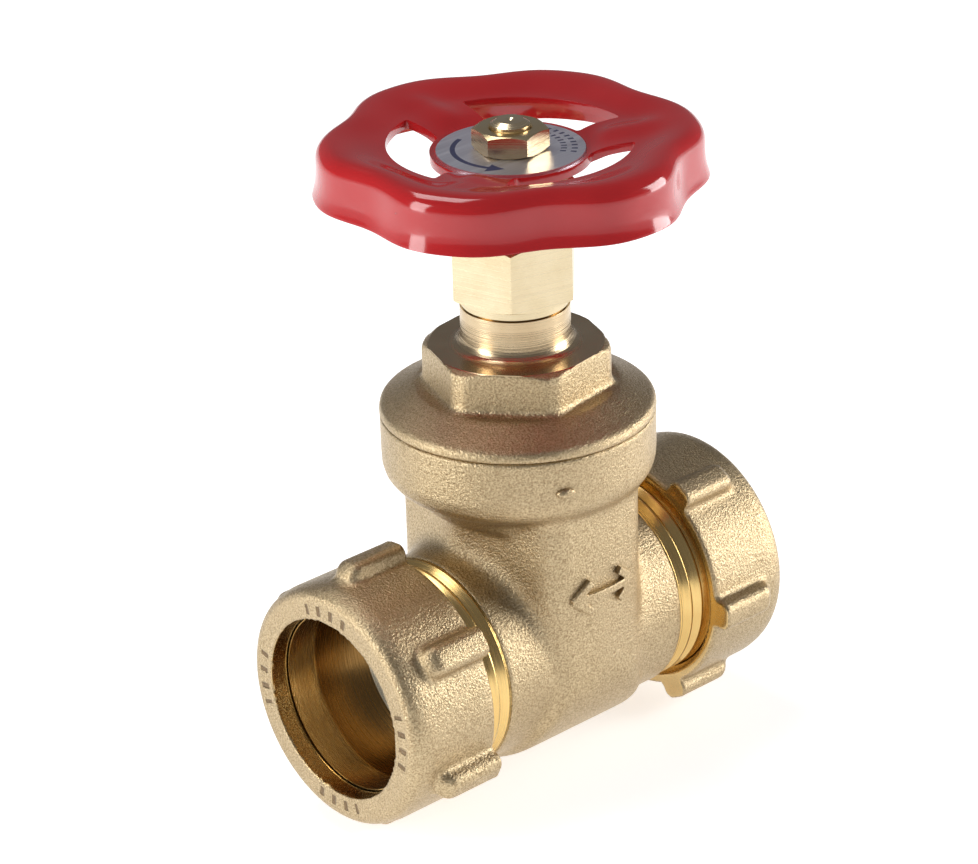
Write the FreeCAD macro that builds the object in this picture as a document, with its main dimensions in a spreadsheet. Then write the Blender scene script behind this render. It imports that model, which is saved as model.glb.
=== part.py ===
"""Gate valve for 28 mm pipe: non-rising stem, solid wedge, compression ends.

The frame's origin is where the stem's axis crosses the pipe's axis.
+X runs along the pipe, +Z runs up the stem towards the handwheel.
All lengths are in millimetres.  The gate is built fully open.
"""
import FreeCAD, Part
import math
import os
import re

import Sketcher
from FreeCAD import Placement, Rotation, Vector

SIZES = [
    # pipe run
    ("socket_radius", 14.05, "bore that takes the 28 mm pipe"),
    ("waterway_radius", 12.2, "free bore through the seats"),
    ("stop_x", 20.5, "pipe stop, from the centre"),
    ("hub_radius", 16.9, "cast hub beside the centre"),
    ("hub_x", 18.26, "shoulder where the cast hub ends"),
    ("hub_edge", 0.6, "bevel from the hub down to its shoulder"),
    ("thread_radius", 16.62, "G1 thread, over the crests"),
    ("thread_depth", 1.3, "G1 thread, crest to root"),
    ("thread_pitch", 2.309, "G1 thread, 11 per inch"),
    ("thread_rings", 6, "threads on each end"),
    ("mouth_x", 32.5, "end of the threaded mouth"),
    ("mouth_radius", 15.6, "coned mouth, at its rim"),
    ("mouth_depth", 1.9, "coned mouth, along the pipe"),
    # centre casting
    ("barrel_ridge", 13.9, "parting ridge of the barrel, along the pipe"),
    ("barrel_corner", 9.9, "corner of the barrel, along the pipe"),
    ("barrel_side", 17.5, "corner of the barrel, across the pipe"),
    ("barrel_end", 18.3, "end face and underside of the barrel"),
    ("barrel_top", 29.0, "barrel runs up into the flange"),
    ("cast_wall", 2.4, "wall of the barrel"),
    ("corner_fillet", 5.0, "upright corners of the barrel"),
    ("ridge_fillet", 8.0, "parting ridges of the barrel"),
    ("end_fillet", 25.0, "crown of the barrel's end faces"),
    ("blend_fillet", 3.0, "hollow fillet between barrel and hubs"),
    ("seat_radius", 14.0, "outside of each seat ring"),
    ("wedge_slope", 0.07, "taper of the wedge, each side"),
    ("seat_gap", 0.06, "wedge face to seat when shut"),
    ("rib_width", 3.0, "guide rib inside the barrel"),
    ("rib_face", 14.3, "face of the guide rib, from the axis"),
    # body flange and bonnet
    ("flange_radius", 21.05, "body flange"),
    ("flange_bottom", 26.9, "outer edge of the flange's underside"),
    ("flange_root", 22.8, "where the flange's underside runs into the barrel"),
    ("shelf_z", 26.2, "where the hollow widens towards the bonnet"),
    ("seam_z", 37.2, "joint of body and bonnet"),
    ("seam_edge", 0.2, "broken edges beside the joint"),
    ("bonnet_thread", 18.2, "bonnet skirt thread, over the crests"),
    ("skirt_bottom", 30.0, "end of the bonnet skirt"),
    ("skirt_bore", 15.6, "inside of the bonnet skirt"),
    ("gasket_thick", 0.8, "fibre gasket under the skirt"),
    ("rim_radius", 21.1, "bonnet rim"),
    ("rim_top", 38.7, "top of the rim's wall"),
    ("dome_radius", 19.2, "start of the dome"),
    ("dome_z", 39.6, "height where the dome starts"),
    ("hex_base_z", 42.0, "foot of the bonnet's hexagon"),
    ("bonnet_flats", 26.0, "bonnet hexagon across flats"),
    ("bonnet_corner", 14.4, "turned corners of the bonnet hexagon"),
    ("bonnet_turn", 39.6, "direction a flat of the bonnet's hexagon faces, degrees"),
    ("rim_rounding", 0.9, "rounded top of the bonnet's rim"),
    ("hex_top_z", 48.0, "top of the bonnet's hexagon"),
    ("neck_radius", 8.36, "turned neck"),
    ("neck_top", 54.4, "top of the neck"),
    ("neck_flare", 2.0, "fillet at the foot of the neck"),
    ("roof_z", 43.4, "roof of the bonnet's hollow"),
    ("roof_radius", 9.0, "bonnet's hollow at the roof"),
    # stuffing box and gland
    ("box_thread", 6.9, "stuffing box thread in the neck"),
    ("box_collar", 8.2, "round collar of the stuffing box"),
    ("box_hex_bottom", 55.9, "foot of its hexagon"),
    ("box_hex_top", 66.4, "top of its hexagon"),
    ("box_flats", 17.8, "its hexagon across flats"),
    ("box_turn", 15, "direction a flat of its hexagon faces, degrees"),
    ("box_top", 71.2, "top of its outside thread"),
    ("box_outer_thread", 7.2, "thread for the gland nut"),
    ("packing_radius", 5.6, "packing chamber"),
    ("packing_height", 2.4, "one packing ring"),
    ("gland_flange", 6.9, "flange of the gland"),
    ("gland_flange_z", 71.5, "underside of the gland's flange"),
    ("gland_top", 72.7, "top of the gland"),
    ("gland_nut_bottom", 67.4, "foot of the gland nut"),
    ("gland_nut_top", 74.3, "top of the gland nut"),
    ("gland_nut_flats", 17.0, "gland nut across flats"),
    ("gland_nut_turn", 42, "direction a flat of the gland nut faces, degrees"),
    ("packing_rings", 3, "packing rings round the stem"),
    # stem and gate
    ("stem_radius", 4.0, "stem shank and thread crests"),
    ("stem_bottom", 13.2, "lower end of the stem"),
    ("stem_pitch", 2.5, "lead of the stem thread"),
    ("stem_rings", 11, "threads on the stem"),
    ("stem_thread_depth", 0.75, "stem thread, crest to root"),
    ("stem_collar", 6.4, "thrust collar"),
    ("collar_bottom", 47.9, "underside of the thrust collar"),
    ("collar_top", 50.35, "top of the thrust collar"),
    ("square_flats", 5.6, "square that drives the handwheel"),
    ("tip_radius", 2.95, "M6 thread of the stem's tip"),
    ("stem_top", 83.4, "tip of the stem"),
    ("running_gap", 0.05, "radial clearance of turning parts"),
    ("gate_radius", 13.4, "wedge disc"),
    ("gate_half", 6.6, "half thickness of the wedge at its centre"),
    ("gate_hub_radius", 6.6, "threaded hub on the wedge"),
    ("gate_hub_top", 18.2, "top of the hub with the gate shut"),
    ("gate_travel", 25.0, "lift of the gate, shut to open"),
    ("ear_width", 6.8, "guide ears of the wedge"),
    ("ear_reach", 14.8, "guide ears, from the axis"),
    ("ear_bottom", -2.0, "foot of the guide ears with the gate shut"),
    ("ear_top", 9.0, "top of the guide ears with the gate shut"),
    # compression nuts and rings
    ("nut_inner_x", 23.5, "inner end of the nut"),
    ("nut_face_x", 39.25, "outer face of the nut"),
    ("nut_radius", 19.2, "outside of the nut"),
    ("nut_face_radius", 17.7, "flat face of the nut"),
    ("nut_bore", 16.7, "threaded bore of the nut"),
    ("nut_relief", 17.5, "counterbore at the nut's inner end"),
    ("nut_cone_x", 34.2, "start of the nut's inner cone"),
    ("nut_mouth", 14.3, "hole in the nut's face"),
    ("nut_mouth_x", 36.2, "inner end of that hole"),
    ("lug_width", 4.8, "grip lug across"),
    ("lug_radius", 21.8, "grip lug, tip"),
    ("lug_end_x", 34.4, "outer end of the lug"),
    ("lug_round", 1.5, "rounding of the lug"),
    ("lug_root", 0.8, "fillet at the lug's foot"),
    ("lugs", 6, "grip lugs round each nut"),
    ("left_lug_turn", 84, "direction of the left nut's first lug, degrees"),
    ("right_lug_turn", 122, "direction of the right nut's first lug, degrees"),
    ("ring_bore", 14.05, "bore of the compression ring"),
    ("ring_radius", 15.5, "crown of the compression ring"),
    ("ring_inner_x", 31.05, "inner end of the compression ring"),
    ("ring_outer_x", 36.0, "outer end of the compression ring"),
    # handwheel and its fastening
    ("wheel_radius", 28.35, "mean radius at the bottom edge"),
    ("wheel_lobe", 1.25, "how far each lobe stands out"),
    ("wheel_lobes", 6, "number of lobes"),
    ("wheel_turn", 28.0, "direction of the first lobe, degrees"),
    ("lobe_power", 1.6, "how much narrower the hollows are than the lobes"),
    ("crest_share", 0.8, "share of the lobe that is left at the crest"),
    ("wheel_bottom", 73.5, "bottom edge of the handwheel"),
    ("wheel_crest_z", 81.7, "crest of the rim"),
    ("wheel_crest_in", 3.1, "crest, in from the outline"),
    ("wheel_fall", 7.2, "from the crest in to the web"),
    ("wheel_web_z", 80.1, "web beside the rim"),
    ("wheel_land_z", 78.5, "flat land under the disc"),
    ("wheel_land", 11.6, "radius of the land"),
    ("wheel_gauge", 1.4, "pressed sheet thickness"),
    ("window_inner", 12.0, "inner edge of each window"),
    ("window_outer", 18.4, "outer edge of each window"),
    ("window_half_angle", 43.0, "half of each window at its outer edge, degrees"),
    ("window_taper", 0.86, "its inner half angle, as a share of the outer"),
    ("windows", 3, "number of windows"),
    ("window_round", 2.6, "corners of each window"),
    ("disc_radius", 11.07, "identification disc"),
    ("disc_thick", 0.4, "its thickness"),
    ("wheel_nut_flats", 10.0, "handwheel nut across flats"),
    ("wheel_nut_turn", 42.4, "direction a flat of the handwheel nut faces, degrees"),
    ("wheel_nut_top", 82.3, "top of the handwheel nut"),
]

doc = FreeCAD.newDocument("gate_valve")
sheet = doc.addObject("Spreadsheet::Sheet", "Sizes")
for row, (alias, number, meaning) in enumerate(SIZES, start=1):
    sheet.set(f"A{row}", meaning)
    sheet.set(f"B{row}", str(number))
    sheet.setAlias(f"B{row}", alias)
doc.recompute()

ALIASES = {alias for alias, number, meaning in SIZES}
TINY = 1e-6                               # a size smaller than this is drawn as zero
NEAR = 0.02                               # how closely an edge must lie where it is looked for
GROOVE_SHARES = (0.12, 0.45, 0.55, 0.88)  # crest, root, root, crest, as shares of a pitch
OUTLINE_STEPS = 72                        # points round one outline of the handwheel
ROLL_STEP = 18                            # degrees between outlines round the crest
FALL_STEPS = 6                            # outlines from the crest down to the web


def bound(expression):
    """The expression with each size name pointed at its cell in the sheet."""
    def to_cell(match):
        return f"Sizes.{match.group(0)}" if match.group(0) in ALIASES else match.group(0)
    return re.sub(r"[a-z_]+", to_cell, str(expression))


def value(expression):
    """The number that a bound expression has now."""
    return float(sheet.evalExpression(bound(expression)))


def new_body(label):
    body = doc.addObject("PartDesign::Body", label)
    body.Label = label
    return body


def origin_part(body, role):
    return next(part for part in body.Origin.OriginFeatures if part.Role == role)


def new_sketch(body, name, plane, offset="0"):
    """A sketch on one of the body's origin planes, moved along the plane's normal."""
    sketch = body.newObject("Sketcher::SketchObject", name)
    sketch.AttachmentSupport = [(origin_part(body, plane), "")]
    sketch.MapMode = "FlatFace"
    if offset != "0":
        sketch.setExpression("AttachmentOffset.Base.z", bound(offset))
    return sketch


def pin_point(sketch, line, end, place):
    """Tie one end of a line to the place that a pair of expressions gives."""
    for axis, kind, expression in ((-2, "DistanceX", place[0]), (-1, "DistanceY", place[1])):
        now = value(expression)
        if abs(now) < TINY:
            sketch.addConstraint(Sketcher.Constraint("PointOnObject", line, end, axis))
            continue
        datum = sketch.addConstraint(Sketcher.Constraint(kind, -1, 1, line, end, now))
        sketch.setExpression(f"Constraints[{datum}]", bound(expression))


def draw_outline(sketch, places):
    """A closed outline of straight lines, each corner given as two expressions."""
    points = [Vector(value(across), value(along), 0) for across, along in places]
    lines = []
    for here, there in zip(points, points[1:] + points[:1]):
        lines.append(sketch.addGeometry(Part.LineSegment(here, there), False))
    for line, following in zip(lines, lines[1:] + lines[:1]):
        sketch.addConstraint(Sketcher.Constraint("Coincident", line, 2, following, 1))
    for line, place in zip(lines, places):
        pin_point(sketch, line, 1, place)


def draw_circle(sketch, radius):
    circle = Part.Circle(Vector(0, 0, 0), Vector(0, 0, 1), value(radius))
    index = sketch.addGeometry(circle, False)
    sketch.addConstraint(Sketcher.Constraint("Coincident", index, 3, -1, 1))
    datum = sketch.addConstraint(Sketcher.Constraint("Radius", index, value(radius)))
    sketch.setExpression(f"Constraints[{datum}]", bound(radius))


def polygon(sides, flats, turn="0"):
    """Corners of a regular polygon that measures flats across, as expressions."""
    reach = f"({flats}) / 2 / cos({180 / sides})"
    angles = [f"({turn}) + {(corner + 0.5) * 360 / sides}" for corner in range(sides)]
    return [(f"{reach} * cos({angle})", f"{reach} * sin({angle})") for angle in angles]


def turned(body, name, places, axis="V_Axis", cut=False):
    """Turn an outline in the XZ plane about the stem (V_Axis) or the pipe (H_Axis)."""
    sketch = new_sketch(body, f"{name}_outline", "XZ_Plane")
    draw_outline(sketch, places)
    feature = body.newObject("PartDesign::Groove" if cut else "PartDesign::Revolution", name)
    feature.Profile = sketch
    feature.ReferenceAxis = (sketch, [axis])
    feature.Angle = 360
    doc.recompute()
    return feature


def raised(body, name, sketch, length, both_ways=False, cut=False):
    """Pad a sketch along its normal, or pocket it against its normal."""
    feature = body.newObject("PartDesign::Pocket" if cut else "PartDesign::Pad", name)
    feature.Profile = sketch
    feature.setExpression("Length", bound(length))
    feature.Midplane = both_ways
    doc.recompute()
    return feature


def flats_cut(body, name, places, bottom, top, blank):
    """Mill a turned blank down to the outline between two heights."""
    sketch = new_sketch(body, f"{name}_outline", "XY_Plane", top)
    draw_circle(sketch, f"({blank}) + 2")
    draw_outline(sketch, places)
    return raised(body, name, sketch, f"({top}) - ({bottom})", cut=True)


def rounded(body, name, radius, wanted):
    """Fillet the edges of the body so far that the test picks."""
    before = body.Tip
    names = [f"Edge{number}" for number, edge in enumerate(before.Shape.Edges, start=1)
             if wanted(edge)]
    feature = body.newObject("PartDesign::Fillet", name)
    feature.Base = (before, names)
    feature.setExpression("Radius", bound(radius))
    doc.recompute()
    return feature


def ring_at(radius, height):
    """A test for full circles of one radius about the stem, at one height."""
    def wanted(edge):
        curve = edge.Curve
        if not isinstance(curve, Part.Circle):
            return False
        return abs(curve.Radius - value(radius)) < NEAR and abs(curve.Center.z - value(height)) < NEAR
    return wanted


def upright_at(place):
    """A test for upright edges at one distance along the pipe, on both sides."""
    def wanted(edge):
        tall = edge.BoundBox.ZLength > value("barrel_ridge")
        return tall and abs(abs(edge.CenterOfMass.x) - value(place)) < 5 * NEAR
    return wanted


def hub_meeting(edge):
    """True for the edges where the barrel's sides meet the round hubs."""
    if isinstance(edge.Curve, Part.Line):
        return False
    first, last = edge.ParameterRange
    for share in (0.2, 0.5, 0.8):
        point = edge.valueAt(first + share * (last - first))
        if abs(math.hypot(point.y, point.z) - value("hub_radius")) > NEAR:
            return False
        if abs(point.x) > value("hub_x") - 1:
            return False
    return True


def ring_grooves(start, pitch, count, crest, depth):
    """Corners of a thread drawn as ring grooves, from start onwards."""
    places = []
    for turn in range(round(value(count))):
        for share, drop in zip(GROOVE_SHARES, ("0", depth, depth, "0")):
            places.append((f"({start}) + {turn + share} * ({pitch})", f"({crest}) - ({drop})"))
    return places


def round_underside(body, name, radius):
    """Cut away what lies below the pipe axis and outside a radius about it."""
    sketch = new_sketch(body, f"{name}_outline", "YZ_Plane")
    reach = value(radius)
    arc = Part.Arc(Vector(-reach, 0, 0), Vector(0, -reach, 0), Vector(reach, 0, 0))
    bow = sketch.addGeometry(arc, False)
    outer = [(radius, "0"), (f"{radius} + 4", "0"), (f"{radius} + 4", f"-({radius}) - 4"),
             (f"-({radius}) - 4", f"-({radius}) - 4"), (f"-({radius}) - 4", "0"),
             (f"-({radius})", "0")]
    points = [Vector(value(across), value(up), 0) for across, up in outer]
    lines = [sketch.addGeometry(Part.LineSegment(here, there), False)
             for here, there in zip(points, points[1:])]
    for line, following in zip(lines, lines[1:]):
        sketch.addConstraint(Sketcher.Constraint("Coincident", line, 2, following, 1))
    for line, place in zip(lines, outer):
        pin_point(sketch, line, 1, place)
    sketch.addConstraint(Sketcher.Constraint("PointOnObject", lines[-1], 2, -1))
    sketch.addConstraint(Sketcher.Constraint("Coincident", bow, 3, -1, 1))
    sketch.addConstraint(Sketcher.Constraint("Coincident", bow, 1, lines[-1], 2))
    sketch.addConstraint(Sketcher.Constraint("Coincident", bow, 2, lines[0], 1))
    return raised(body, name, sketch, "4 * barrel_ridge", both_ways=True, cut=True)


# ---------------------------------------------------------------- body casting
def build_casting():
    """The outside of the body casting, with its threaded ends."""
    body = new_body("body_casting")
    plan = new_sketch(body, "barrel_plan", "XY_Plane", "-barrel_end")
    corners = [
        ("barrel_ridge", "0"), ("barrel_corner", "barrel_side"), ("0", "barrel_end"),
        ("-barrel_corner", "barrel_side"), ("-barrel_ridge", "0"),
        ("-barrel_corner", "-barrel_side"), ("0", "-barrel_end"), ("barrel_corner", "-barrel_side"),
    ]
    draw_outline(plan, corners)
    raised(body, "barrel", plan, "barrel_end + barrel_top")

    for name, place, radius in (("corners", "barrel_corner", "corner_fillet"),
                                ("ridges", "barrel_ridge", "ridge_fillet"), ("ends", "0", "end_fillet")):
        rounded(body, f"barrel_{name}", radius, upright_at(place))
    round_underside(body, "underside", "barrel_end")
    turned(body, "hubs", [("-hub_x + hub_edge", "0"), ("-hub_x + hub_edge", "hub_radius"),
                          ("hub_x - hub_edge", "hub_radius"), ("hub_x - hub_edge", "0")], "H_Axis")
    rounded(body, "hub_blend", "blend_fillet", hub_meeting)
    crests = ring_grooves("hub_x", "thread_pitch", "thread_rings", "thread_radius", "thread_depth")
    right = [("hub_x - hub_edge", "hub_radius"), ("hub_x", "hub_radius - hub_edge / 2"),
             ("hub_x", "thread_radius")]
    right += crests + [("mouth_x - 0.4", "thread_radius"), ("mouth_x", "thread_radius - 0.6")]
    left = [(f"-({along})", radius) for along, radius in reversed(right)]
    turned(body, "pipe_run", [("-mouth_x", "0")] + left + right + [("mouth_x", "0")], "H_Axis")
    turned(body, "flange", [
        ("0", "flange_root"), ("barrel_end - 2.6", "flange_root"),
        ("barrel_end - 2.2", "flange_root + 1.5"), ("barrel_end - 1.2", "flange_root + 2.6"),
        ("barrel_end", "flange_root + 3.3"), ("flange_radius - 1.3", "flange_bottom"),
        ("flange_radius - 0.4", "flange_bottom + 1.2"), ("flange_radius", "flange_bottom + 2.8"),
        ("flange_radius", "seam_z - seam_edge"), ("flange_radius - seam_edge", "seam_z"), ("0", "seam_z")])
    return body


def build_core():
    """The space inside the body casting, seats and guide ribs left out of it."""
    body = new_body("body_core")
    inset = [
        ("barrel_ridge - cast_wall", "0"), ("barrel_corner - cast_wall", "barrel_side - cast_wall"),
        ("-barrel_corner + cast_wall", "barrel_side - cast_wall"), ("-barrel_ridge + cast_wall", "0"),
        ("-barrel_corner + cast_wall", "-barrel_side + cast_wall"),
        ("barrel_corner - cast_wall", "-barrel_side + cast_wall"),
    ]
    plan = new_sketch(body, "chamber_plan", "XY_Plane")
    draw_outline(plan, inset)
    raised(body, "chamber", plan, "flange_bottom")
    pit = new_sketch(body, "pit_outline", "YZ_Plane")
    draw_circle(pit, "barrel_side - cast_wall")
    raised(body, "pit", pit, "2 * (barrel_corner - 1.6)", both_ways=True)
    for name, way in (("right", ""), ("left", "-")):
        turned(body, f"{name}_seat", [
            (f"{way}(gate_half - 1.4)", "waterway_radius - 1"), (f"{way}(gate_half - 1.4)", "seat_radius"),
            (f"{way}barrel_ridge", "seat_radius"), (f"{way}barrel_ridge", "waterway_radius - 1")],
            "H_Axis", cut=True)
    wedge = new_sketch(body, "wedge_path", "XZ_Plane")
    low, high = "-seat_radius - 0.5", "flange_bottom"
    draw_outline(wedge, [
        (f"gate_half + seat_gap + wedge_slope * ({low})", low),
        (f"gate_half + seat_gap + wedge_slope * ({high})", high),
        (f"-gate_half - seat_gap - wedge_slope * ({high})", high),
        (f"-gate_half - seat_gap - wedge_slope * ({low})", low)])
    raised(body, "wedge_slot", wedge, "2 * seat_radius + 0.3", both_ways=True)
    round_underside(body, "chamber_underside", "(barrel_side - cast_wall)")
    ribs = new_sketch(body, "rib_plan", "XY_Plane", "flange_bottom")
    for way in ("-", ""):
        draw_outline(ribs, [
            ("-rib_width / 2", f"{way}rib_face"), ("rib_width / 2", f"{way}rib_face"),
            ("rib_width / 2", f"{way}barrel_end"), ("-rib_width / 2", f"{way}barrel_end")])
    raised(body, "guide_ribs", ribs, "flange_bottom + barrel_end / 3", cut=True)
    turned(body, "bonnet_seat", [
        ("0", "shelf_z"), ("skirt_bore", "shelf_z"),
        ("skirt_bore", "skirt_bottom - gasket_thick"),
        ("bonnet_thread + running_gap", "skirt_bottom - gasket_thick"),
        ("bonnet_thread + running_gap", "seam_z"), ("0", "seam_z")])
    turned(body, "bore", [
        ("-mouth_x", "0"), ("-mouth_x", "mouth_radius"), ("-mouth_x + mouth_depth", "socket_radius"),
        ("-stop_x", "socket_radius"), ("-stop_x", "waterway_radius"), ("stop_x", "waterway_radius"),
        ("stop_x", "socket_radius"), ("mouth_x - mouth_depth", "socket_radius"),
        ("mouth_x", "mouth_radius"), ("mouth_x", "0")], "H_Axis")
    return body


def build_valve_body():
    casting = doc.addObject("Part::Cut", "valve_body")
    casting.Base = build_casting()
    casting.Tool = build_core()
    doc.recompute()
    return casting


# ------------------------------------------------------------ bonnet and gasket
def build_bonnet():
    body = new_body("bonnet")
    turned(body, "bonnet_turning", [
        ("skirt_bore", "skirt_bottom"), ("bonnet_thread - 0.6", "skirt_bottom"),
        ("bonnet_thread", "skirt_bottom + 0.6"), ("bonnet_thread", "seam_z"),
        ("rim_radius - seam_edge", "seam_z"), ("rim_radius", "seam_z + seam_edge"),
        ("rim_radius", "rim_top"), ("dome_radius", "dome_z"),
        ("bonnet_corner", "hex_base_z"), ("bonnet_corner", "hex_top_z - 0.7"),
        ("bonnet_corner - 1.2", "hex_top_z"), ("neck_radius", "hex_top_z"),
        ("neck_radius", "neck_top"), ("box_thread + running_gap", "neck_top"),
        ("box_thread + running_gap", "collar_bottom - running_gap"),
        ("stem_radius + 0.3", "collar_bottom - running_gap"),
        ("stem_radius + 0.3", "roof_z"), ("roof_radius", "roof_z"),
        ("skirt_bore", "seam_z + 0.2")])
    rounded(body, "rim_rounding", "rim_rounding", ring_at("rim_radius", "rim_top"))
    flats_cut(body, "bonnet_hexagon", polygon(6, "bonnet_flats", "bonnet_turn"),
              "hex_base_z - 0.6", "hex_top_z", "bonnet_corner")
    rounded(body, "neck_flare", "neck_flare", ring_at("neck_radius", "hex_top_z"))
    return body


def plain_ring(label, inner, outer, bottom, top):
    """A plain turned ring about the stem."""
    body = new_body(label)
    turned(body, f"{label}_turning", [(inner, bottom), (outer, bottom), (outer, top), (inner, top)])
    return body


def hexagon_blank(flats, bottom, top, chamfer="0.58"):
    """Outer corners of a hexagon's turned blank, chamfered above and below."""
    corner = f"(({flats}) / 2 / cos(30))"
    drop = f"({chamfer} * ({corner} - ({flats}) / 2))"
    return corner, [
        (f"({flats}) / 2 - 0.15", bottom), (corner, f"({bottom}) + {drop}"),
        (corner, f"({top}) - {drop}"), (f"({flats}) / 2 - 0.15", top)]


def build_stuffing_box():
    body = new_body("stuffing_box")
    corner, blank = hexagon_blank("box_flats", "box_hex_bottom", "box_hex_top")
    turned(body, "stuffing_box_turning", [
        ("stem_radius + running_gap", "collar_top + running_gap"),
        ("box_thread - 0.5", "collar_top + running_gap"), ("box_thread", "collar_top + 0.5"),
        ("box_thread", "neck_top"), ("box_collar - 0.3", "neck_top"),
        ("box_collar", "neck_top + 0.3"), ("box_collar", "box_hex_bottom")] + blank + [
        ("box_outer_thread", "box_hex_top"), ("box_outer_thread", "box_top - 0.5"),
        ("box_outer_thread - 0.5", "box_top"), ("packing_radius", "box_top"),
        ("packing_radius", "box_hex_bottom"), ("stem_radius + running_gap", "box_hex_bottom")])
    flats_cut(body, "stuffing_box_hexagon", polygon(6, "box_flats", "box_turn"),
              "box_hex_bottom", "box_hex_top", corner)
    return body


def build_gland():
    body = new_body("gland")
    bottom = "box_hex_bottom + packing_rings * packing_height + 2 * running_gap"
    turned(body, "gland_turning", [
        ("stem_radius + running_gap", bottom), ("packing_radius - running_gap", bottom),
        ("packing_radius - running_gap", "gland_flange_z"), ("gland_flange", "gland_flange_z"),
        ("gland_flange", "gland_top"), ("stem_radius + running_gap", "gland_top")])
    return body


def build_gland_nut():
    body = new_body("gland_nut")
    corner, blank = hexagon_blank("gland_nut_flats", "gland_nut_bottom", "gland_nut_top")
    inside = "box_outer_thread + running_gap"
    turned(body, "gland_nut_turning", [(inside, "gland_nut_bottom")] + blank + [
        ("stem_radius + 0.4", "gland_nut_top"), ("stem_radius + 0.4", "gland_top + 0.1"),
        (inside, "gland_top + 0.1")])
    flats_cut(body, "gland_nut_hexagon", polygon(6, "gland_nut_flats", "gland_nut_turn"),
              "gland_nut_bottom", "gland_nut_top", corner)
    return body


# --------------------------------------------------------------- stem and gate
def build_stem():
    body = new_body("stem")
    land = "wheel_land_z - wheel_gauge"
    grooves = [(radius, up) for up, radius in
               ring_grooves("stem_bottom + 1", "stem_pitch", "stem_rings", "stem_radius",
                            "stem_thread_depth")]
    turned(body, "stem_turning", [("0", "stem_bottom"), ("stem_radius - 0.8", "stem_bottom"),
                                  ("stem_radius", "stem_bottom + 0.8")] + grooves + [
        ("stem_radius", "collar_bottom"), ("stem_collar", "collar_bottom"),
        ("stem_collar", "collar_top"), ("stem_radius", "collar_top"),
        ("stem_radius", "wheel_land_z"), ("tip_radius", "wheel_land_z"),
        ("tip_radius", "stem_top - 0.6"), ("tip_radius - 0.9", "stem_top"),
        ("0.7", "stem_top"), ("0", "stem_top - 0.4")])
    flats_cut(body, "stem_square", polygon(4, "square_flats", "wheel_turn"), land, "wheel_land_z",
              "stem_radius")
    return body


def build_gate():
    body = new_body("gate")
    disc = new_sketch(body, "disc_outline", "YZ_Plane")
    draw_circle(disc, "gate_radius")
    raised(body, "wedge_disc", disc, "4 * gate_half", both_ways=True)
    reach = "gate_radius + 2"
    for name, way in (("right", ""), ("left", "-")):
        side = new_sketch(body, f"{name}_face_outline", "XZ_Plane")
        draw_outline(side, [
            (f"{way}(gate_half - wedge_slope * ({reach}))", f"-({reach})"),
            (f"{way}(gate_half + wedge_slope * ({reach}))", reach),
            (f"{way}(3 * gate_half)", reach), (f"{way}(3 * gate_half)", f"-({reach})")])
        raised(body, f"{name}_face", side, "4 * gate_radius", both_ways=True, cut=True)
    turned(body, "gate_hub", [
        ("0", "0"), ("gate_hub_radius - 0.4", "0"), ("gate_hub_radius - 0.4", "gate_hub_top - 0.6"),
        ("gate_hub_radius - 1", "gate_hub_top"), ("0", "gate_hub_top")])
    for name, way in (("front", "-"), ("back", "")):
        ear = new_sketch(body, f"{name}_ear_plan", "XY_Plane", "ear_bottom")
        inner, outer = f"{way}(rib_face - 2)", f"{way}ear_reach"
        draw_outline(ear, [("-ear_width / 2", inner), ("ear_width / 2", inner),
                           ("ear_width / 2", outer), ("-ear_width / 2", outer)])
        raised(body, f"{name}_ear", ear, "ear_top - ear_bottom")
        slot = new_sketch(body, f"{name}_slot_plan", "XY_Plane", "gate_radius")
        inner, outer = f"{way}(rib_face - 0.4)", f"{way}(ear_reach + 1)"
        half = "rib_width / 2 + 0.3"
        draw_outline(slot, [(f"-({half})", inner), (half, inner), (half, outer), (f"-({half})", outer)])
        raised(body, f"{name}_slot", slot, "2 * gate_radius", cut=True)
    turned(body, "stem_bore", [
        ("0", "-gate_radius + 1"), ("stem_radius + running_gap", "-gate_radius + 1"),
        ("stem_radius + running_gap", "gate_hub_top"), ("0", "gate_hub_top")], cut=True)
    body.setExpression("Placement.Base.z", bound("gate_travel"))
    return body


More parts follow.
